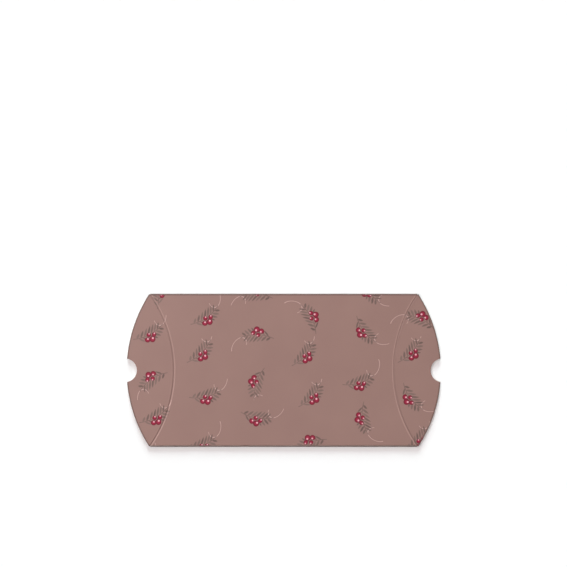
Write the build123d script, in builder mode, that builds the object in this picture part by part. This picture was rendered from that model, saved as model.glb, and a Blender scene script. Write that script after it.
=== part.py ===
"""Favor box of the pillow type: one die-cut sheet of printed card, folded along its
top edge, glued along its bottom edge and lying flat with its end flaps held straight out.

Millimetres. X runs along the box, Y across it towards the top edge, and Z up, out of the
front panel. The origin is under the middle of the back panel, which lies on Z = 0.

The card bends into a pillow, so each panel and flap is cut into flat strips along X.
Neighbouring strips meet at a bend line, and a panel strip meets its flap strip at the crease.
"""

import os
from math import asin, degrees, sqrt

from build123d import *

# Outline of the box
corner_length = 158.0  # along X, from corner to corner
box_width = 90.0  # along Y, over both long edges
crease_rise = 14.4  # how far each crease bows in from the line through its two corners
tuck_ease = 1.0  # how much less each flap's edge bows out from it, so that the flap tucks in
notch_radius = 7.0  # thumb notch in the end of each flap
notch_setback = 1.0  # the notch's centre lies this far outside the flap's edge

# Card and seam
card = 0.4  # thickness of the board
glue_thickness = 0.1
tab_clearance = 0.1  # between the glue tab and the back panel
tab_width = 10.0
tab_edge = 0.2  # from the fold to the tab's root
tab_slant = 8.0  # how much shorter the tab is on each side at its free edge
tab_end = 4.0  # from the panel's corner to the end of the tab's root
glue_inset = 1.0  # from the tab's edges to the glue

# How the sheet is divided
middle_strip = 18.0  # width of the strip along the middle, which holds the notches
side_strips = 3  # strips on each side of the middle one
bend_gap = 0.1  # between strips at a bend line
crease_inside = 0.5  # from the middle of the scored crease to the panel
crease_outside = 0.15  # from the middle of the scored crease to the flap
corner_relief = 1.4  # from a long edge to the pointed end of each flap
bow_ease = 1.03  # how much further the panels bow than their creases need, to clear the flaps
fold_margin = 6.0  # degrees left free where two folded lips close up

# Sizes that follow from these
flap_rise = crease_rise - tuck_ease
inner_gap = card + tab_clearance + glue_thickness
front_level = card + inner_gap
fold_radius = card + inner_gap / 2
fold_level = card + inner_gap / 2
flat_half = box_width / 2 - fold_radius
side_strip = (box_width - middle_strip) / (2 * side_strips)


def arc_drop(rise, y):
    """How far an arc across the box has fallen back from its apex at a given Y."""
    radius = ((box_width / 2) ** 2 + rise**2) / (2 * rise)
    return radius - sqrt(radius**2 - y**2)


def crease_x(y):
    """Distance of the crease from the middle of the box."""
    return corner_length / 2 - crease_rise + arc_drop(crease_rise, y)


def flap_x(y):
    """Distance of the flap's outer edge from the middle of the box."""
    return corner_length / 2 + flap_rise - arc_drop(flap_rise, y)


def bend_line(k):
    """Y of the bend line between strip k and the next one up. The middle strip is number 0."""
    if k < 0:
        return -bend_line(-k - 1)
    return middle_strip / 2 + k * side_strip


def strip_slope(k):
    """Slope of strip k, in degrees, when the box is folded up into a pillow."""
    if k == 0:
        return 0.0
    fall = crease_x(bend_line(k)) - crease_x(bend_line(k - 1))
    return bow_ease * degrees(asin(fall / side_strip))


# The two long edges open by twice the slope of the outermost strip
edge_opening = 2 * strip_slope(side_strips)
spine_lip = (180 - edge_opening - fold_margin) / 2
seam_lip = 180 - edge_opening - fold_margin


def strip_edges(k, limit):
    """Lower and upper Y of strip k, which is cut off at a limit on both sides."""
    low = bend_line(k - 1) + bend_gap / 2
    high = bend_line(k) - bend_gap / 2
    return max(low, -limit), min(high, limit)


def panel_end(y):
    """Distance from the middle of the box to the end of the panel, at the crease."""
    return crease_x(y) - crease_inside


def flap_root(y):
    """Distance from the middle of the box to the root of the flap, at the crease."""
    return crease_x(y) + crease_outside


def end_points(k, limit, side, curve):
    """Three points of an end curve across strip k, for an arc through them."""
    low, high = strip_edges(k, limit)
    return [(side * curve(y), y) for y in (low, (low + high) / 2, high)]


def finish_piece(piece, name):
    piece.part.label = name
    export_step(piece.part, f"parts/{name}.step")


os.makedirs("parts", exist_ok=True)

# Strips are named from the bottom edge to the top edge
strips = {0: "middle", side_strips: "top_edge", -side_strips: "bottom_edge"}
for k in range(1, side_strips):
    strips[k] = f"upper_{k}"
    strips[-k] = f"lower_{k}"
levels = {"back": 0.0, "front": front_level}

# Card bent round the long edges, as the edge's Y, the angle where it leaves the panel and
# the angle it turns through. The back panel's bottom edge turns up towards the glue tab,
# and the front panel's bottom edge is a plain cut edge that lies over it.
lips = {
    ("back", side_strips): (flat_half, -90, spine_lip),
    ("front", side_strips): (flat_half, 90, -spine_lip),
    ("back", -side_strips): (-flat_half, -90, -seam_lip),
}
lip_half = panel_end(flat_half)

# Panels, between the left and right creases
for face, level in levels.items():
    for k, strip_name in strips.items():
        left = end_points(k, flat_half, -1, panel_end)
        right = end_points(k, flat_half, 1, panel_end)
        with BuildPart() as strip:
            with BuildSketch(Plane.XY.offset(level)):
                with BuildLine():
                    ThreePointArc(*left)
                    Line(left[2], right[2])
                    ThreePointArc(*right)
                    Line(right[0], left[0])
                make_face()
            extrude(amount=card)
            if (face, k) in lips:
                edge, start, sweep_angle = lips[face, k]
                with BuildSketch(Plane.YZ.offset(-lip_half)):
                    with BuildLine():
                        outside = CenterArc((edge, fold_level), fold_radius, start, sweep_angle)
                        inside = CenterArc((edge, fold_level), inner_gap / 2, start, sweep_angle)
                        Line(outside @ 0, inside @ 0)
                        Line(outside @ 1, inside @ 1)
                    make_face()
                extrude(amount=2 * lip_half)
        finish_piece(strip, f"{face}_panel_{strip_name}")

# End flaps: each is a lens between the crease and its mirror image, with a thumb notch
for face, level in levels.items():
    for end, side in (("left", -1), ("right", 1)):
        for k, strip_name in strips.items():
            root = end_points(k, flat_half - corner_relief, side, flap_root)
            tip = end_points(k, flat_half - corner_relief, side, flap_x)
            with BuildPart() as strip:
                with BuildSketch(Plane.XY.offset(level)):
                    with BuildLine():
                        ThreePointArc(*root)
                        Line(root[2], tip[2])
                        ThreePointArc(*tip)
                        Line(tip[0], root[0])
                    make_face()
                    if k == 0:
                        with Locations((side * (flap_x(0) + notch_setback), 0)):
                            Circle(notch_radius, mode=Mode.SUBTRACT)
                extrude(amount=card)
            finish_piece(strip, f"{face}_{end}_flap_{strip_name}")

# Glue tab, folded in from the back panel's bottom edge, and the glue on top of it
tab_root = -flat_half + tab_edge
root_half = lip_half - tab_end
tab_corners = [
    (-root_half, tab_root),
    (root_half, tab_root),
    (root_half - tab_slant, tab_root + tab_width),
    (-root_half + tab_slant, tab_root + tab_width),
]

with BuildPart() as glue_tab:
    with BuildSketch(Plane.XY.offset(card + tab_clearance)):
        with BuildLine():
            Polyline(*tab_corners, close=True)
        make_face()
    extrude(amount=card)
finish_piece(glue_tab, "glue_tab")

with BuildPart() as glue_line:
    with BuildSketch(Plane.XY.offset(front_level - glue_thickness)):
        with BuildLine():
            Polyline(*tab_corners, close=True)
        make_face()
        offset(amount=-glue_inset)
    extrude(amount=glue_thickness)
finish_piece(glue_line, "glue_line")
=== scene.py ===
# %% [markdown]
# # A flat favor box of printed card
# The box is one sheet of thin card, folded along its top edge and glued along its bottom edge.
# It lies flat, with a lens-shaped flap at each end of both layers, and folds up into a pillow.
# The CAD model holds the sheet as flat strips joined by hinges. Here each bend line between two
# strips gets one piece of card that reaches across it, so that the sheet looks unbroken.

import bpy
import numpy as np
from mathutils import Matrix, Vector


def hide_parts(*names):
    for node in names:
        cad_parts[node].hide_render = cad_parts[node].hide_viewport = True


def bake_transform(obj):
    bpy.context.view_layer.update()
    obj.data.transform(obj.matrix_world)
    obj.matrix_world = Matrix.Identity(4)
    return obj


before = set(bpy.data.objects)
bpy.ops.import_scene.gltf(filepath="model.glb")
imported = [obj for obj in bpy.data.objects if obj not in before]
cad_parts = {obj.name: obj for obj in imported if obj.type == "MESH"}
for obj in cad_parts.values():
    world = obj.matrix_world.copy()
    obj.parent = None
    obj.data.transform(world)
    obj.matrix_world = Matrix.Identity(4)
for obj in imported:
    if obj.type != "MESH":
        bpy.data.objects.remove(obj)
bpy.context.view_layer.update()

# %% [markdown]
# ## The outline
# A pillow box is drawn with arcs. Each crease bows in and each flap's edge bows out, from one
# corner to the other. Both arcs are circles through three known points, so a short formula gives
# X for any Y, and a whole row of points is worked out at once. Shapes are drawn in millimetres and
# become metres when their mesh is made.

# %% Arcs, notch and layers
METRE = 1000.0
CORNER = 79.0
HALF_WIDTH = 45.0
CREASE_RISE = 14.4
FLAP_RISE = 13.4
NOTCH_RADIUS = 7.0
NOTCH_SETBACK = 1.0
NOTCH_CENTRE = CORNER + FLAP_RISE + NOTCH_SETBACK
CARD = 0.4
FOLD_RADIUS = 0.7
FLAT_HALF = HALF_WIDTH - FOLD_RADIUS
OUTER_LEVEL = {"back": 0.0, "front": 1.4}
INWARD = {"back": 1.0, "front": -1.0}


def arc_drop(rise, y):
    """Circle through both corners and the apex: its radius, less its height at y."""
    radius = (HALF_WIDTH**2 + rise**2) / (2 * rise)
    return radius - np.sqrt(radius**2 - y**2)


def crease_x(y):
    """Half length of the panel: the apex of the crease plus what its arc has fallen back by."""
    return CORNER - CREASE_RISE + arc_drop(CREASE_RISE, y)


def flap_x(y):
    """The flap's outer arc, or the notch's circle where that lies further in."""
    arc = CORNER + FLAP_RISE - arc_drop(FLAP_RISE, y)
    notch = NOTCH_CENTRE - np.sqrt(np.maximum(NOTCH_RADIUS**2 - y**2, 0))
    return np.where(np.abs(y) < NOTCH_RADIUS, np.minimum(arc, notch), arc)


print("crease, middle and corner:", crease_x(np.array([0.0, HALF_WIDTH])))
print("flap edge, middle and corner:", flap_x(np.array([0.0, HALF_WIDTH])))

# %% [markdown]
# ## From grids of points to card
# Card has two faces and a cut edge all round. Two grids of the same shape give the printed face
# and the inner face, and a band of quads along the rim closes the solid. The printed face, the
# inner face and the rim where the card was really cut get a material each; the rest of the rim
# only meets more card, so it is printed. A UV map holds each point's place on the flat sheet, so
# that the print stays on the card when the card bends. Edges over 35 degrees stay sharp.

# %% Closed card from two grids
SHEET_SPAN = 200.0
SHARP = np.radians(35)
PRINTED, INNER, CUT = 0, 1, 2
card_pieces = []


def card_faces(rows, columns, cut=()):
    """Quads of the printed grid, of the inner grid turned over, and of the rim between them.
    The rim's sides are 0 to 3: first row, last column, last row and first column."""
    index = np.arange(rows * columns).reshape(rows, columns)
    corners = [index[:-1, :-1], index[:-1, 1:], index[1:, 1:], index[1:, :-1]]
    face = np.stack(corners, -1).reshape(-1, 4)
    sides = [index[0, :-1], index[:-1, -1], index[-1, :0:-1], index[:0:-1, 0]]
    rim = np.concatenate(sides)
    following = np.roll(rim, -1)
    count = rows * columns
    walls = np.stack([following, rim, rim + count, following + count], -1)
    rim_kinds = [CUT if side in cut else PRINTED for side in range(4)]
    kinds = np.repeat([PRINTED, INNER, *rim_kinds], [len(face), len(face), *map(len, sides)])
    return np.concatenate([face, face[:, ::-1] + count, walls]), kinds


def signed_volume(points, quads):
    """Sum over the triangles of the triple product of their corners, over six."""
    triangles = np.concatenate([quads[:, [0, 1, 2]], quads[:, [0, 2, 3]]])
    a, b, c = (points[triangles[:, i]] for i in range(3))
    return np.einsum("ij,ij->i", a, np.cross(b, c)).sum() / 6


def add_card(name, printed, inner, sheet, cut=()):
    """A closed piece of card from grids of millimetre points and their places on the sheet."""
    rows, columns = printed.shape[:2]
    quads, kinds = card_faces(rows, columns, cut)
    points = np.concatenate([printed.reshape(-1, 3), inner.reshape(-1, 3)])
    if signed_volume(points, quads) < 0:
        quads = quads[:, ::-1]
    mesh = bpy.data.meshes.new(name)
    mesh.from_pydata((points / METRE).tolist(), [], quads.tolist())
    mesh.polygons.foreach_set("material_index", kinds.astype(np.int32))
    mesh.polygons.foreach_set("use_smooth", np.ones(len(quads), bool))
    flat = np.tile(sheet.reshape(-1, 2), (2, 1)) / SHEET_SPAN + 0.5
    corners = np.zeros(len(mesh.loops), np.int32)
    mesh.loops.foreach_get("vertex_index", corners)
    places = flat[corners].astype(np.float32).ravel()
    mesh.uv_layers.new(name="sheet").uv.foreach_set("vector", places)
    mesh.set_sharp_from_angle(angle=SHARP)
    piece = bpy.data.objects.new(name, mesh)
    bpy.context.scene.collection.objects.link(piece)
    card_pieces.append(piece)
    return piece


print("a 3 by 4 grid makes", len(card_faces(3, 4)[0]), "faces")

# %% [markdown]
# ## The scored crease
# Before card is folded, a blunt steel rule presses a groove into it. The groove is modelled, so
# that it answers to any light: the card dips by a cosine over about one millimetre, with a low bank
# on either side where the board was pushed up. On the inner face the card stops a little short of
# the crease, as a mitre does, so that it doesn't run into itself when the flap is folded in.

# %% Groove and the points across it
GROOVE_HALF = 0.6
GROOVE_DEPTH = 0.16
BANK_HEIGHT = 0.035
BANK_FROM = 0.36
BANK_WIDTH = 0.84
BEAD_SHARE = 0.3
MITRE = 0.6
MITRE_REACH = 1.6
ACROSS_GROOVE = np.array([0, 0.12, 0.24, 0.36, 0.48, 0.6, 0.75, 0.95, 1.2, 2.0])


def groove(distance):
    """Cosine-squared dip out to the groove's half width, with a sine-squared bank over its side."""
    near = np.clip(distance / GROOVE_HALF, 0, 1)
    bank = np.clip((distance - BANK_FROM) / BANK_WIDTH, 0, 1)
    return -GROOVE_DEPTH * np.cos(near * np.pi / 2) ** 2 + BANK_HEIGHT * np.sin(bank * np.pi) ** 2


def mitre(distance, squeeze):
    """Straight ramp from the mitre's size at the crease to nothing at its reach."""
    return squeeze * MITRE * np.clip(1 - distance / (MITRE_REACH * squeeze), 0, 1)


def card_grid(face, x, y, distance, away, squeeze=1.0):
    """Printed and inner points of flat card at x, y, pushed in by the groove at that distance.
    The inner face keeps a share of the groove as a low bead, because the board is squeezed there,
    and its points move by the mitre in the direction away from the crease."""
    printed = OUTER_LEVEL[face] - INWARD[face] * groove(distance)
    inner = OUTER_LEVEL[face] + INWARD[face] * (CARD - BEAD_SHARE * groove(distance))
    inner_x = x + away * mitre(distance, squeeze)
    return np.stack([x, y, printed], -1), np.stack([inner_x, y, inner], -1)


def on_sheet(face, x, y):
    """Place on the unfolded sheet: the back panel follows the front over the top fold."""
    over_fold = 2 * FLAT_HALF + np.pi * FOLD_RADIUS
    return np.stack([x, y if face == "front" else over_fold - y], -1) - np.array([0, HALF_WIDTH])


print("groove across the crease:", groove(ACROSS_GROOVE).round(3))

# %% [markdown]
# ## Bend lines
# The CAD strips meet at six bend lines across the box. A piece of card belongs to each of them and
# reaches from the middle of one strip to the middle of the next. When the card bows, neighbouring
# pieces draw apart by a few hundredths of a millimetre, so each piece has a thin tongue inside the
# card of the next one down, which shows in place of a slit.

# %% Strips, bend lines and rows
STRIPS = ["bottom_edge", "lower_2", "lower_1", "middle", "upper_1", "upper_2", "top_edge"]
LIMITS = np.array([-FLAT_HALF, -27.0, -15.0, 0.0, 15.0, 27.0, FLAT_HALF])
TONGUE = 0.12
TONGUE_SINK = 0.01
PANEL_ROWS = 16


def bend_across(piece, prefix, bend):
    """Bakes a piece's transform into its mesh, and hides the strips it stands for."""
    low, high = STRIPS[bend], STRIPS[bend + 1]
    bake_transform(piece)
    outer = low if bend < 3 else high
    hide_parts(f"{prefix}_{outer}")
    if bend == 3:
        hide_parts(f"{prefix}_middle")


def with_tongue(bend, printed, inner, sheet):
    """Adds two rows before the first one of a piece: the tongue's end, and its root, which is the
    piece's edge sunk on both faces. The lowest piece has none."""
    if bend == 0:
        return printed, inner, sheet
    sink = TONGUE_SINK / CARD * (inner - printed)[:1]
    step = np.array([-TONGUE, -TONGUE_SINK])[:, None, None] * np.array([0, 1, 0])
    printed = np.concatenate([printed[:1] + sink + step, printed])
    inner = np.concatenate([inner[:1] - sink + step, inner])
    return printed, inner, np.concatenate([sheet[:1], sheet[:1], sheet])


def panel_rows(bend):
    """Y of each row of points, about a millimetre apart."""
    return np.linspace(LIMITS[bend], LIMITS[bend + 1], PANEL_ROWS)


# %% [markdown]
# ## Panels
# A panel runs between its two creases. Its columns follow the crease near the ends, close together
# so that the groove is round, and are spread out evenly between. The lowest piece of the back panel
# carries on round the bottom edge, as far as the fold that the glue tab hangs from.

# %% Front and back panels
LIP_TURN = np.radians(100)
LIP_ROWS = 13
PANEL_COLUMNS = 31


def panel_columns(y):
    """X of each column at height y: steps away from each crease, and even steps between them."""
    reach = crease_x(y)[:, None]
    ends = reach - ACROSS_GROOVE
    middle = np.linspace(-1, 1, PANEL_COLUMNS)[None, 1:-1] * ends[:, -1:]
    x = np.concatenate([-ends, middle, ends[:, ::-1]], 1)
    return x, reach - np.abs(x)


def panel_card(face, bend):
    """Grids of one piece of a panel."""
    y = panel_rows(bend)
    x, distance = panel_columns(y)
    y = np.broadcast_to(y[:, None], x.shape)
    return with_tongue(bend, *card_grid(face, x, y, distance, -np.sign(x)), on_sheet(face, x, y))


def round_edge(columns, angles, centre_y):
    """Rows round a long edge: circles about the fold's axis, outside and inside the card."""
    circle = np.stack([np.zeros_like(angles), np.cos(angles), np.sin(angles)], -1)[:, None]
    level = np.full_like(columns, FOLD_RADIUS)
    axis = np.stack([columns, np.full_like(columns, centre_y), level], -1)
    return axis + FOLD_RADIUS * circle, axis + (FOLD_RADIUS - CARD) * circle


for face in ("back", "front"):
    for bend in range(6):
        printed, inner, sheet = panel_card(face, bend)
        if face == "back" and bend == 0:
            angles = np.radians(-90) - np.linspace(0, LIP_TURN, LIP_ROWS)[:0:-1]
            columns = panel_columns(np.array([-FLAT_HALF]))[0][0]
            lip, lip_inner = round_edge(columns, angles, -FLAT_HALF)
            along = -FLAT_HALF - FOLD_RADIUS * (np.radians(-90) - angles)
            lip_y = np.broadcast_to(along[:, None], lip.shape[:2])
            sheet = np.concatenate([on_sheet(face, lip[..., 0], lip_y), sheet])
            printed = np.concatenate([lip, printed])
            inner = np.concatenate([lip_inner, inner])
        cut = (0,) if face == "front" and bend == 0 else ()
        piece = add_card(f"{face}_panel_card_{bend + 1}", printed, inner, sheet, cut)
        bend_across(piece, f"{face}_panel", bend)
print("panel pieces:", len(card_pieces))

# %% [markdown]
# ## The top fold
# Along the top edge the sheet turns over from the front panel to the back panel. A half-round strip
# bridges the two.

# %% Half-round strip
FOLD_ROWS = 25
fold_angles = np.linspace(np.radians(90), np.radians(-90), FOLD_ROWS)
fold_columns = panel_columns(np.array([FLAT_HALF]))[0][0]
fold_printed, fold_inner = round_edge(fold_columns, fold_angles, FLAT_HALF)
fold_y = FLAT_HALF + FOLD_RADIUS * (np.radians(90) - fold_angles)
fold_y = np.broadcast_to(fold_y[:, None], fold_printed.shape[:2])
fold_sheet = on_sheet("front", fold_printed[..., 0], fold_y)
top_fold = add_card("top_fold_card", fold_printed, fold_inner, fold_sheet)
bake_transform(top_fold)
print("fold strip", len(top_fold.data.vertices), "vertices")

# %% [markdown]
# ## Flaps
# A flap is the lens between a crease and its outer arc, with a half-round thumb notch. Its rows are
# even, except beside the notch, where they go by equal steps of angle round the notch's circle so
# that the cut stays round. Its columns go from the groove to the outer edge. The back flaps tuck in
# under the front ones, so towards their tips they are cut a little smaller, which leaves room for
# the long edges. The inner side of a front tip reaches past them and is printed there.

# %% Four lens flaps
TIP = {"back": 42.4, "front": 44.7}
TRIM = {"back": 0.5, "front": 0.0}
TRIM_FROM = 15.0
TRIM_OVER = 21.0
INKED_FROM = 41.4
CROWDED = 3.2
NOTCH_SHOULDER = 6.88
NOTCH_ROWS = 20
SHOULDER_ROWS = 9
STRIP_ROWS = 13
OUTER_ROWS = 15
TIP_FROM = 41.0
TIP_ROWS = 9
FLAP_COLUMNS = 13


def tip_share(y):
    """Smooth step from nothing near the notch to one towards the tip."""
    part = np.clip((np.abs(y) - TRIM_FROM) / TRIM_OVER, 0, 1)
    return part * part * (3 - 2 * part)


def flap_rows(face, bend):
    """Y of each row: angles round the notch, then even steps, and out to the pointed tip."""
    near, far = sorted(np.abs(LIMITS[bend : bend + 2]))
    if bend in (2, 3):
        swing = np.linspace(0, np.arcsin(NOTCH_SHOULDER / NOTCH_RADIUS), NOTCH_ROWS)
        shoulder = np.linspace(NOTCH_SHOULDER, far, SHOULDER_ROWS)
        rows = np.concatenate([NOTCH_RADIUS * np.sin(swing), shoulder[1:]])
    elif bend in (1, 4):
        rows = np.linspace(near, far, STRIP_ROWS)
    else:
        point = np.linspace(TIP_FROM, TIP[face], TIP_ROWS)
        rows = np.concatenate([np.linspace(near, TIP_FROM, OUTER_ROWS), point[1:]])
    return rows if bend >= 3 else -rows[::-1]


def ink_tip(piece):
    """Prints the inner face beyond the back flap's tip, which is what shows there from behind."""
    mesh = piece.data
    kinds = np.zeros(len(mesh.polygons), np.int32)
    centres = np.zeros(3 * len(mesh.polygons))
    mesh.polygons.foreach_get("material_index", kinds)
    mesh.polygons.foreach_get("center", centres)
    kinds[np.abs(centres[1::3]) > INKED_FROM / METRE] = PRINTED
    mesh.polygons.foreach_set("material_index", kinds)


def flap_card(face, side, bend):
    """Grids of one piece of a flap; the steps across the groove shrink where the flap is narrow."""
    y = flap_rows(face, bend)
    root = crease_x(y)[:, None]
    width = (flap_x(y) - crease_x(y) - TRIM[face] * tip_share(y))[:, None]
    squeeze = np.minimum(1, width / CROWDED)
    near = ACROSS_GROOVE * squeeze
    far = near[:, -1:] + np.linspace(0, 1, FLAP_COLUMNS)[None, 1:] * (width - near[:, -1:])
    distance = np.concatenate([near, far], 1)
    x = side * (root + distance)
    y = np.broadcast_to(y[:, None], x.shape)
    return with_tongue(bend, *card_grid(face, x, y, distance, side, squeeze), on_sheet(face, x, y))


for face in ("back", "front"):
    for end, side in (("left", -1.0), ("right", 1.0)):
        for bend in range(6):
            flap = f"{face}_{end}_flap"
            piece = add_card(f"{flap}_card_{bend + 1}", *flap_card(face, side, bend), cut=(1,))
            bend_across(piece, flap, bend)
            if face == "front":
                ink_tip(piece)
print("card pieces in all:", len(card_pieces))

# %% [markdown]
# ## Building materials from sums
# The print is drawn by arithmetic on the place on the sheet, so it needs small helpers: one makes a
# Math node, one makes a soft-edged mask from a distance, and one mixes two colours by a mask.
# Colours are picked as screen values and turned into the linear values that the shader uses.

# %% Node helpers
INK_SPREAD = 0.14


def put(tree, socket, term):
    """Feeds a socket from another socket, or sets its number."""
    if isinstance(term, bpy.types.NodeSocket):
        tree.links.new(term, socket)
    else:
        socket.default_value = term


def calc(tree, operation, *terms):
    """One Math node of numbers and sockets."""
    node = tree.nodes.new("ShaderNodeMath")
    node.operation = operation
    for socket, term in zip(node.inputs, terms):
        put(tree, socket, term)
    return node.outputs[0]


def within(tree, distance, soft=INK_SPREAD):
    """Mask that is one where the distance is below zero, with a soft edge to both sides of it."""
    node = tree.nodes.new("ShaderNodeMapRange")
    node.interpolation_type = "SMOOTHSTEP"
    put(tree, node.inputs["Value"], distance)
    ends = {"From Min": -soft, "From Max": soft, "To Min": 1.0, "To Max": 0.0}
    for name, value in ends.items():
        node.inputs[name].default_value = value
    return node.outputs[0]


def tint(tree, mask, below, above):
    """Mixes two colours by a mask."""
    node = tree.nodes.new("ShaderNodeMix")
    node.data_type = "RGBA"
    put(tree, node.inputs["Factor"], mask)
    put(tree, node.inputs["A"], below)
    put(tree, node.inputs["B"], above)
    return next(out for out in node.outputs if out.type == "RGBA")


def screen(red, green, blue):
    """Screen colour of 0 to 255 as linear values, by the usual curve."""
    value = np.array([red, green, blue]) / 255
    linear = np.where(value <= 0.04045, value / 12.92, ((value + 0.055) / 1.055) ** 2.4)
    return (*linear.tolist(), 1.0)


def new_group(name, inputs, outputs):
    """An empty shader group with float or vector inputs and float or colour outputs."""
    tree = bpy.data.node_groups.new(name, "ShaderNodeTree")
    for label, kind in inputs.items():
        tree.interface.new_socket(label, in_out="INPUT", socket_type=f"NodeSocket{kind}")
    for label, kind in outputs.items():
        tree.interface.new_socket(label, in_out="OUTPUT", socket_type=f"NodeSocket{kind}")
    way_in, way_out = tree.nodes.new("NodeGroupInput"), tree.nodes.new("NodeGroupOutput")
    return tree, way_in.outputs, way_out.inputs


print("middle grey is", screen(128, 128, 128))

# %% [markdown]
# ## Fibre of the board
# Uncoated board is pressed wood fibre. Close to, it has a fine tooth, short fibres that lie mostly
# one way, and a faint cloudiness where the sheet is denser. One group gives all three from noise,
# and every card finish uses it: the tone goes to the colour and the height to a bump.

# %% Card fibre group
STRAND_SHARE = 0.5
CLOUD_SHARE = 0.7
fibre, fibre_in, fibre_out = new_group(
    "card_fibre",
    {"Place": "Vector"},
    {"Tone": "Float", "Height": "Float"},
)


def grain(stretch, scale, detail):
    """Noise on the place in millimetres, stretched along the sheet."""
    spread = fibre.nodes.new("ShaderNodeMapping")
    spread.inputs["Scale"].default_value = stretch
    fibre.links.new(fibre_in["Place"], spread.inputs["Vector"])
    noise = fibre.nodes.new("ShaderNodeTexNoise")
    noise.inputs["Scale"].default_value = scale
    noise.inputs["Detail"].default_value = detail
    fibre.links.new(spread.outputs[0], noise.inputs["Vector"])
    return noise.outputs[0]


def blend_of(first, second, share):
    """Sum of two values, with a share of the second."""
    return calc(fibre, "MULTIPLY_ADD", first, 1 - share, calc(fibre, "MULTIPLY", second, share))


tooth = grain(stretch=(1, 1, 1), scale=2.6, detail=4.0)
strands = grain(stretch=(0.35, 2.2, 1), scale=1.4, detail=3.0)
clouds = grain(stretch=(1, 1, 1), scale=0.035, detail=2.0)
body = blend_of(tooth, strands, STRAND_SHARE)
put(fibre, fibre_out["Height"], body)
put(fibre, fibre_out["Tone"], blend_of(body, clouds, CLOUD_SHARE))
print("fibre group:", len(fibre.nodes), "nodes")

# %% [markdown]
# ## The print
# The sheet carries small dark leafy twigs with crimson berries and pale curls, scattered in a half
# drop: every other column is moved down by half a step. Each cell of the scatter turns and shifts
# its twig by random numbers. A leaf is a lens beside the stem, and folding the place about the stem
# and along it repeats the lens, so that one formula draws all the leaves.

# %% Twig print group
CELL_X = 31.0
CELL_Y = 25.0
twigs, twigs_in, twigs_out = new_group(
    "twig_print",
    {"Place": "Vector"},
    dict.fromkeys(["Leaf", "Berry", "Core", "Glint", "Curl", "Tone"], "Float"),
)
split = twigs.nodes.new("ShaderNodeSeparateXYZ")
twigs.links.new(twigs_in["Place"], split.inputs[0])


def t(operation, *terms):
    """One Math node in the print's group."""
    return calc(twigs, operation, *terms)


column = t("FLOOR", t("DIVIDE", split.outputs["X"], CELL_X))
drop = t("MULTIPLY", t("FLOORED_MODULO", column, 2.0), CELL_Y / 2)
lowered = t("ADD", split.outputs["Y"], drop)
row = t("FLOOR", t("DIVIDE", lowered, CELL_Y))
cell = twigs.nodes.new("ShaderNodeCombineXYZ")
twigs.links.new(column, cell.inputs["X"])
twigs.links.new(row, cell.inputs["Y"])
chance = twigs.nodes.new("ShaderNodeTexWhiteNoise")
chance.noise_dimensions = "2D"
twigs.links.new(cell.outputs[0], chance.inputs["Vector"])
dice = twigs.nodes.new("ShaderNodeSeparateXYZ")
twigs.links.new(chance.outputs["Color"], dice.inputs[0])
print("scatter of", CELL_X, "by", CELL_Y, "mm")

# %% Turn each twig in its cell
WANDER_X = 7.0
WANDER_Y = 6.0
TWIG_BOW = 0.022


def centred(place, index, step, die, wander):
    """Distance from the cell's middle, which a die moves by up to half of wander."""
    middle = t("MULTIPLY", t("ADD", index, 0.5), step)
    moved = t("MULTIPLY", t("SUBTRACT", die, 0.5), wander)
    return t("SUBTRACT", t("SUBTRACT", place, middle), moved)


local_x = centred(split.outputs["X"], column, CELL_X, dice.outputs["X"], WANDER_X)
local_y = centred(lowered, row, CELL_Y, dice.outputs["Y"], WANDER_Y)
turn = t("MULTIPLY", dice.outputs["Z"], 2 * np.pi)
cosine, sine = t("COSINE", turn), t("SINE", turn)
along = t("ADD", t("MULTIPLY", local_x, cosine), t("MULTIPLY", local_y, sine))
straight = t("SUBTRACT", t("MULTIPLY", local_y, cosine), t("MULTIPLY", local_x, sine))
aside = t("SUBTRACT", straight, t("MULTIPLY", t("MULTIPLY", along, along), TWIG_BOW))
print("twigs wander by", WANDER_X / 2, "and", WANDER_Y / 2, "mm to each side")

# %% Leaves and stem
LEAF_STEP = 2.2
LEAF_LEAN = 0.8
LEAF_SLANT = 0.75
LEAF_LENGTH = 4.4
LEAF_FULLNESS = 2.1
LEAF_SPREAD = 0.16
LEAF_TIP_SPREAD = 0.1
SHORTEST_LEAF = 0.0001
TWIG_HALF = 8.6
STEM_HALF = 0.2
STEM_BEYOND = 1.2
TONE_STEP = 0.37
off_stem = t("ABSOLUTE", aside)
stagger = t("MULTIPLY", t("GREATER_THAN", aside, 0.0), LEAF_STEP / 2)
leaning = t("SUBTRACT", t("ADD", along, stagger), t("MULTIPLY", off_stem, LEAF_LEAN))
number = t("ROUND", t("DIVIDE", leaning, LEAF_STEP))
root = t("MULTIPLY", number, LEAF_STEP)
across = t("ABSOLUTE", t("MULTIPLY", t("SUBTRACT", leaning, root), LEAF_SLANT))
share = t("DIVIDE", root, TWIG_HALF)
taper = t("MAXIMUM", t("SUBTRACT", 1.0, t("MULTIPLY", share, share)), SHORTEST_LEAF)
length = t("MULTIPLY", t("SQRT", taper), LEAF_LENGTH)
part = t("MINIMUM", t("DIVIDE", off_stem, length), 1.0)
lens = t("MULTIPLY", t("MULTIPLY", part, t("SUBTRACT", 1.0, part)), LEAF_FULLNESS)
leaf = within(twigs, t("SUBTRACT", across, lens), LEAF_SPREAD)
leaf = t("MULTIPLY", leaf, within(twigs, t("SUBTRACT", t("ABSOLUTE", root), TWIG_HALF)))
leaf = t("MULTIPLY", leaf, within(twigs, t("SUBTRACT", off_stem, length), LEAF_TIP_SPREAD))
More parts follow.
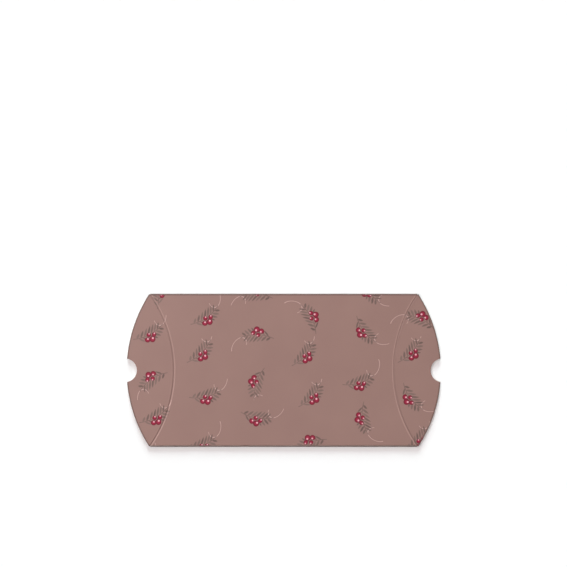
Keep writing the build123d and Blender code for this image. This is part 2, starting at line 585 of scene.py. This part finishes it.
beyond = t("SUBTRACT", t("ABSOLUTE", along), TWIG_HALF + STEM_BEYOND)
stem = t("MAXIMUM", t("SUBTRACT", off_stem, STEM_HALF), beyond)
put(twigs, twigs_out["Leaf"], t("MAXIMUM", leaf, within(twigs, stem, LEAF_SPREAD)))
tone = t("FRACT", t("MULTIPLY", t("ADD", number, dice.outputs["Z"]), TONE_STEP))
put(twigs, twigs_out["Tone"], tone)
print("a leaf every", LEAF_STEP, "mm along a twig of", 2 * TWIG_HALF, "mm")

# %% Berries, their glints and the curls
BERRIES = [(-2.6, -2.3, 1.55), (0.2, -3.1, 1.8), (2.3, -1.2, 1.35), (-0.6, 0.1, 1.3)]
CORE_SHARE = 0.55
CORE_SPREAD = 0.4
GLINT_OFFSET = 0.5
GLINT_SHARE = 0.3
GLINT_SPREAD = 0.2
CURL_CENTRE = (10.5, 4.2)
CURL_RADIUS = 4.4
CURL_HALF = 0.14
CURL_SPREAD = 0.16
CURL_BELOW = 5.2
CURL_FROM = 6.0
CURL_FADE = 0.3


def away(x, y):
    """Distance from a point beside the twig."""
    dx, dy = t("SUBTRACT", along, x), t("SUBTRACT", aside, y)
    return t("SQRT", t("ADD", t("MULTIPLY", dx, dx), t("MULTIPLY", dy, dy)))


berry, core, glint = 0.0, 0.0, 0.0
for x, y, radius in BERRIES:
    berry = t("MAXIMUM", berry, within(twigs, t("SUBTRACT", away(x, y), radius)))
    in_core = t("SUBTRACT", away(x, y), CORE_SHARE * radius)
    core = t("MAXIMUM", core, within(twigs, in_core, CORE_SPREAD))
    in_glint = t("SUBTRACT", away(x + GLINT_OFFSET, y + GLINT_OFFSET), GLINT_SHARE * radius)
    glint = t("MAXIMUM", glint, within(twigs, in_glint, GLINT_SPREAD))
ring = t("ABSOLUTE", t("SUBTRACT", away(*CURL_CENTRE), CURL_RADIUS))
on_ring = within(twigs, t("SUBTRACT", ring, CURL_HALF), CURL_SPREAD)
below = within(twigs, t("SUBTRACT", aside, CURL_BELOW))
past = within(twigs, t("SUBTRACT", CURL_FROM, along), CURL_FADE)
put(twigs, twigs_out["Berry"], berry)
put(twigs, twigs_out["Core"], core)
put(twigs, twigs_out["Glint"], glint)
put(twigs, twigs_out["Curl"], t("MULTIPLY", on_ring, t("MULTIPLY", below, past)))
print("twig group:", len(twigs.nodes), "nodes")

# %% [markdown]
# ## Finishes of the card
# The printed face is a matt, dusty mauve ink on board, and the print lies on top. Beside the crease
# a pale line of painted highlight stands for its bank catching the light, and a darker line of
# painted shade runs in the groove, along the flaps' cut edges and along the long edges. The inner
# face is bare, pale board, and the cut edge shows the same board with a little ink drawn into it.
# All three read the sheet's own UV map, turned back into millimetres.

# %% Shared parts of a card finish
SPECULAR = 0.3
TOOTH_HEIGHT = 0.00006


def new_finish(name, roughness):
    """A material with its Principled shader, and the shader's fixed values."""
    material = bpy.data.materials.new(name)
    material.use_nodes = True
    shader = material.node_tree.nodes["Principled BSDF"]
    shader.inputs["Roughness"].default_value = roughness
    shader.inputs["Specular IOR Level"].default_value = SPECULAR
    return material, material.node_tree, shader


def sheet_place(tree):
    """Place on the flat sheet in millimetres, from the UV map."""
    flat = tree.nodes.new("ShaderNodeUVMap")
    flat.uv_map = "sheet"
    spread = tree.nodes.new("ShaderNodeMapping")
    spread.inputs["Location"].default_value = (-SHEET_SPAN / 2, -SHEET_SPAN / 2, 0)
    spread.inputs["Scale"].default_value = (SHEET_SPAN, SHEET_SPAN, 1)
    tree.links.new(flat.outputs[0], spread.inputs["Vector"])
    return spread.outputs[0]


def solid_place(tree):
    """Place in the model in millimetres, for pieces without a sheet."""
    here = tree.nodes.new("ShaderNodeTexCoord")
    spread = tree.nodes.new("ShaderNodeMapping")
    spread.inputs["Scale"].default_value = (METRE, METRE, METRE)
    tree.links.new(here.outputs["Object"], spread.inputs["Vector"])
    return spread.outputs[0]


def use_group(tree, group, place):
    """Puts a group into a material and feeds it the place."""
    node = tree.nodes.new("ShaderNodeGroup")
    node.node_tree = group
    tree.links.new(place, node.inputs["Place"])
    return node.outputs


def add_tooth(tree, shader, height, strength):
    """Bump from the fibre's height."""
    bump = tree.nodes.new("ShaderNodeBump")
    bump.inputs["Strength"].default_value = strength
    bump.inputs["Distance"].default_value = TOOTH_HEIGHT
    tree.links.new(height, bump.inputs["Height"])
    tree.links.new(bump.outputs[0], shader.inputs["Normal"])


def board_finish(name, place_of, tones, roughness, rough_range, strength):
    """Bare board: the fibre gives its tone between two colours, its roughness and its tooth."""
    material, tree, shader = new_finish(name, roughness)
    board = use_group(tree, fibre, place_of(tree))
    dark, light = tones
    colour = tint(tree, board["Tone"], screen(*dark), screen(*light))
    tree.links.new(colour, shader.inputs["Base Color"])
    low, extra = rough_range
    rough = calc(tree, "MULTIPLY_ADD", board["Height"], extra, low)
    tree.links.new(rough, shader.inputs["Roughness"])
    add_tooth(tree, shader, board["Height"], strength)
    return material


print("the sheet's UV map spans", SHEET_SPAN, "mm")

# %% Places on the printed face
FOLD_LINE = FLAT_HALF + np.pi * FOLD_RADIUS / 2 - HALF_WIDTH
CREASE_RADIUS = (HALF_WIDTH**2 + CREASE_RISE**2) / (2 * CREASE_RISE)
CREASE_CENTRE = CORNER - CREASE_RISE + CREASE_RADIUS
FLAP_RADIUS = (HALF_WIDTH**2 + FLAP_RISE**2) / (2 * FLAP_RISE)
FLAP_CENTRE = CORNER + FLAP_RISE - FLAP_RADIUS
EDGE_INSET = 0.1
EDGE_SPREAD = 0.5
CUT_DEPTH = 0.6
CUT_SPREAD = 0.4
LINE_SPREAD = 0.3
printed_card, tree, shader = new_finish("printed_card", 0.62)
place = sheet_place(tree)
board = use_group(tree, fibre, place)
ink = use_group(tree, twigs, place)
apart = tree.nodes.new("ShaderNodeSeparateXYZ")
tree.links.new(place, apart.inputs[0])


def p(operation, *terms):
    """One Math node in the printed finish."""
    return calc(printed_card.node_tree, operation, *terms)


from_fold = p("ABSOLUTE", p("SUBTRACT", apart.outputs["Y"], FOLD_LINE))
up_panel = p("ABSOLUTE", p("SUBTRACT", FOLD_LINE + HALF_WIDTH, from_fold))
outward = p("ABSOLUTE", apart.outputs["X"])


def from_centre(centre):
    """Distance from the centre of an arc, by Pythagoras."""
    beside = p("SUBTRACT", outward, centre)
    return p("SQRT", p("MULTIPLY_ADD", up_panel, up_panel, p("MULTIPLY", beside, beside)))


from_crease = p("SUBTRACT", from_centre(CREASE_CENTRE), CREASE_RADIUS)
from_cut = p("SUBTRACT", FLAP_RADIUS, from_centre(FLAP_CENTRE))
# Painted shade: a darker line along both long edges of each panel, where the rounded fold turns
# away from the light.
painted_edge_shade = within(tree, p("SUBTRACT", FLAT_HALF - EDGE_INSET, up_panel), EDGE_SPREAD)
# Painted shade: a darker line just inside the flaps' outer cut edges, where the pressed edge rounds
# away from the light.
painted_cut_shade = within(tree, p("SUBTRACT", from_cut, CUT_DEPTH), CUT_SPREAD)
print("crease radius", CREASE_RADIUS, "and flap radius", FLAP_RADIUS)

# %% Inks, and painted light and shade, one over another
CREASE_HIGHLIGHT_FROM = 0.08
CREASE_HIGHLIGHT_EXTRA = 0.5
ROUGH_FROM = 0.54
ROUGH_EXTRA = 0.16
BERRY_GLOSS = 0.1


def line_beside(offset, half):
    """Soft line that runs along the crease, at an offset from it towards the panel."""
    beside = p("ABSOLUTE", p("SUBTRACT", from_crease, offset))
    return within(tree, p("SUBTRACT", beside, half), LINE_SPREAD)


# Painted highlight: a pale line beside the crease on the panel's side, where its bank would catch
# the light, a little stronger where the fibre is lighter.
crease_highlight_share = p("MULTIPLY_ADD", board["Tone"], CREASE_HIGHLIGHT_EXTRA, CREASE_HIGHLIGHT_FROM)
painted_crease_highlight = p("MULTIPLY", line_beside(offset=0.6, half=0.25), crease_highlight_share)
# Painted shade: a darker line in the crease's groove, a little towards the flap.
painted_groove_shade = line_beside(offset=-0.3, half=0.35)
leaf_ink = tint(tree, ink["Tone"], screen(92, 73, 68), screen(120, 97, 90))
berry_ink = tint(tree, ink["Core"], screen(112, 10, 38), screen(150, 20, 54))
layers = [
    (ink["Curl"], 0.75, screen(214, 178, 172)),
    (ink["Leaf"], 0.9, leaf_ink),
    (ink["Berry"], 1.0, berry_ink),
    (ink["Glint"], 0.85, screen(233, 178, 186)),
    # painted highlight beside the crease
    (painted_crease_highlight, 1.0, screen(196, 160, 152)),
    # painted shade in the groove
    (painted_groove_shade, 0.34, screen(112, 85, 79)),
    # painted shade along the flaps' cut edges
    (painted_cut_shade, 0.75, screen(84, 64, 57)),
    # painted shade along the long edges
    (painted_edge_shade, 0.9, screen(84, 60, 55)),
]
colour = tint(tree, board["Tone"], screen(135, 103, 96), screen(150, 117, 108))
for mask, strength, over in layers:
    colour = tint(tree, p("MULTIPLY", mask, strength), colour, over)
tree.links.new(colour, shader.inputs["Base Color"])
rough = p("MULTIPLY_ADD", board["Height"], ROUGH_EXTRA, ROUGH_FROM)
rough = p("SUBTRACT", rough, p("MULTIPLY", ink["Berry"], BERRY_GLOSS))
tree.links.new(rough, shader.inputs["Roughness"])
add_tooth(tree, shader, board["Height"], 0.35)
print("printed card:", len(tree.nodes), "nodes")

# %% Inner face and cut edge
inner_card = board_finish(
    "inner_card",
    sheet_place,
    tones=((206, 198, 186), (226, 219, 208)),
    roughness=0.75,
    rough_range=(0.66, 0.2),
    strength=0.5,
)
cut_edge = board_finish(
    "cut_edge",
    sheet_place,
    tones=((150, 122, 114), (196, 172, 162)),
    roughness=0.85,
    rough_range=(0.74, 0.2),
    strength=0.8,
)
for piece in card_pieces:
    for finish in (printed_card, inner_card, cut_edge):
        piece.data.materials.append(finish)
print("finished", len(card_pieces), "pieces of card")

# %% [markdown]
# ## The glue tab
# Inside the bottom edge a tab of the same board is glued to the front panel. Its CAD shape is right
# as it is, so it only gets better finishes, on Object coordinates because it never bends: bare
# board for the tab, and dried white glue, a little glossy, for the thin line on top of it.

# %% Tab and glue
tab_card = board_finish(
    "tab_card",
    solid_place,
    tones=((200, 192, 180), (224, 217, 206)),
    roughness=0.75,
    rough_range=(0.66, 0.2),
    strength=0.5,
)
dried_glue = board_finish(
    "dried_glue",
    solid_place,
    tones=((214, 208, 190), (236, 232, 220)),
    roughness=0.4,
    rough_range=(0.28, 0.3),
    strength=0.3,
)
for node, finish in (("glue_tab", tab_card), ("glue_line", dried_glue)):
    mesh = bpy.data.objects[node].data
    mesh.materials.clear()
    mesh.materials.append(finish)
    print(node, "is finished with", finish.name)

# %% [markdown]
# ## Floor, light and camera
# The box is seen face on against white, so it lies on a white floor and the camera looks straight
# down. A wide, soft light above and a little to the left gives the even look, a nearby panel light
# makes the upper left slightly brighter, and a low light from beyond the top edge throws the faint
# shadow under the bottom edge. The panel light leaves the floor out, so that the floor is evenly
# white and the shadow shows to its end. A white wall all round shows behind the box in low views;
# it is lit by itself and sends neither light nor shadow to the box.

# %% Floor
FLOOR_HALF = 15.0
FLOOR_LEVEL = -0.0002
floor_corners = FLOOR_HALF * np.array([[-1, -1, 0], [1, -1, 0], [1, 1, 0], [-1, 1, 0]])
floor_mesh = bpy.data.meshes.new("floor")
floor_mesh.from_pydata((floor_corners + [0, 0, FLOOR_LEVEL]).tolist(), [], [(0, 1, 2, 3)])
floor = bpy.data.objects.new("floor", floor_mesh)
bpy.context.scene.collection.objects.link(floor)
floor_white, tree, shader = new_finish("floor_white", 0.9)
shader.inputs["Base Color"].default_value = (0.99, 0.99, 0.99, 1)
shader.inputs["Specular IOR Level"].default_value = 0.0
floor_mesh.materials.append(floor_white)
print("floor of", 2 * FLOOR_HALF, "metres")

# %% Backdrop
WALL_RADIUS = 3.0
WALL_POINTS = 96
WALL_FOOT = -0.1
WALL_TOP = 4.0


def wall_ring(height):
    """Circle round the box at a height, in metres."""
    angles = np.arange(WALL_POINTS) * 2 * np.pi / WALL_POINTS
    x, y = WALL_RADIUS * np.cos(angles), WALL_RADIUS * np.sin(angles)
    return np.stack([x, y, np.full_like(angles, height)], -1)


foot = np.arange(WALL_POINTS)
after = np.roll(foot, -1)
wall_quads = np.stack([after, foot, foot + WALL_POINTS, after + WALL_POINTS], -1)
wall_points = np.concatenate([wall_ring(WALL_FOOT), wall_ring(WALL_TOP)])
wall_mesh = bpy.data.meshes.new("wall")
wall_mesh.from_pydata(wall_points.tolist(), [], wall_quads.tolist())
wall = bpy.data.objects.new("wall", wall_mesh)
bpy.context.scene.collection.objects.link(wall)
wall_white, tree, shader = new_finish("wall_white", 0.9)
shader.inputs["Base Color"].default_value = (0, 0, 0, 1)
shader.inputs["Emission Color"].default_value = (1, 1, 1, 1)
shader.inputs["Emission Strength"].default_value = 1.0
wall_mesh.materials.append(wall_white)
wall.visible_diffuse = wall.visible_glossy = wall.visible_shadow = False
print("wall of", len(wall_mesh.polygons), "faces")

# %% Light
PANEL_AT = Vector((-0.2, 0.12, 0.2))


def add_sun(name, strength, spread, aim, colour):
    """A sun lamp, softened to a wide disc, that shines along a direction."""
    lamp = bpy.data.lights.new(name, "SUN")
    lamp.energy, lamp.angle, lamp.color = strength, np.radians(spread), colour
    sun = bpy.data.objects.new(name, lamp)
    sun.rotation_euler = Vector(aim).to_track_quat("-Z", "Y").to_euler()
    bpy.context.scene.collection.objects.link(sun)


world = bpy.data.worlds.new("studio")
bpy.context.scene.world = world
world.use_nodes = True
sky = world.node_tree.nodes["Background"]
sky.inputs["Color"].default_value = (1, 1, 1, 1)
sky.inputs["Strength"].default_value = 0.18
add_sun("overhead", strength=1.84, spread=60, aim=(0.3, -0.1, -1), colour=(1.0, 0.91, 0.91))
add_sun("low_beyond", strength=4.3, spread=28, aim=(0.05, -1, -0.267), colour=(0.85, 1.0, 1.0))

panel_lamp = bpy.data.lights.new("panel", "AREA")
panel_lamp.energy, panel_lamp.size = 0.22, 0.12
panel_lamp.color = (0.86, 0.94, 1.0)
panel = bpy.data.objects.new("panel", panel_lamp)
panel.location = PANEL_AT
panel.rotation_euler = (-PANEL_AT).to_track_quat("-Z", "Y").to_euler()
panel.visible_camera = False
bpy.context.scene.collection.objects.link(panel)
left_out = bpy.data.collections.new("left_out_by_panel")
left_out.objects.link(floor)
left_out.collection_objects[0].light_linking.link_state = "EXCLUDE"
panel.light_linking.receiver_collection = left_out
bpy.context.scene.view_settings.view_transform = "Standard"

# %% Camera
PICTURE_PIXELS = 567
MM_PER_PIXEL = 0.588
BOX_AT_PIXEL = (283.75, 370.3)
LENS = 100.0
SENSOR = 36.0
lens = bpy.data.cameras.new("camera")
lens.lens, lens.sensor_width = LENS, SENSOR
camera = bpy.data.objects.new("camera", lens)
middle_pixel = PICTURE_PIXELS / 2
pixel = MM_PER_PIXEL / METRE
camera.location = (
    (middle_pixel - BOX_AT_PIXEL[0]) * pixel,
    (BOX_AT_PIXEL[1] - middle_pixel) * pixel,
    OUTER_LEVEL["front"] / METRE + middle_pixel * pixel * LENS / (SENSOR / 2),
)
bpy.context.scene.collection.objects.link(camera)
bpy.context.scene.camera = camera
print("camera at", tuple(camera.location))
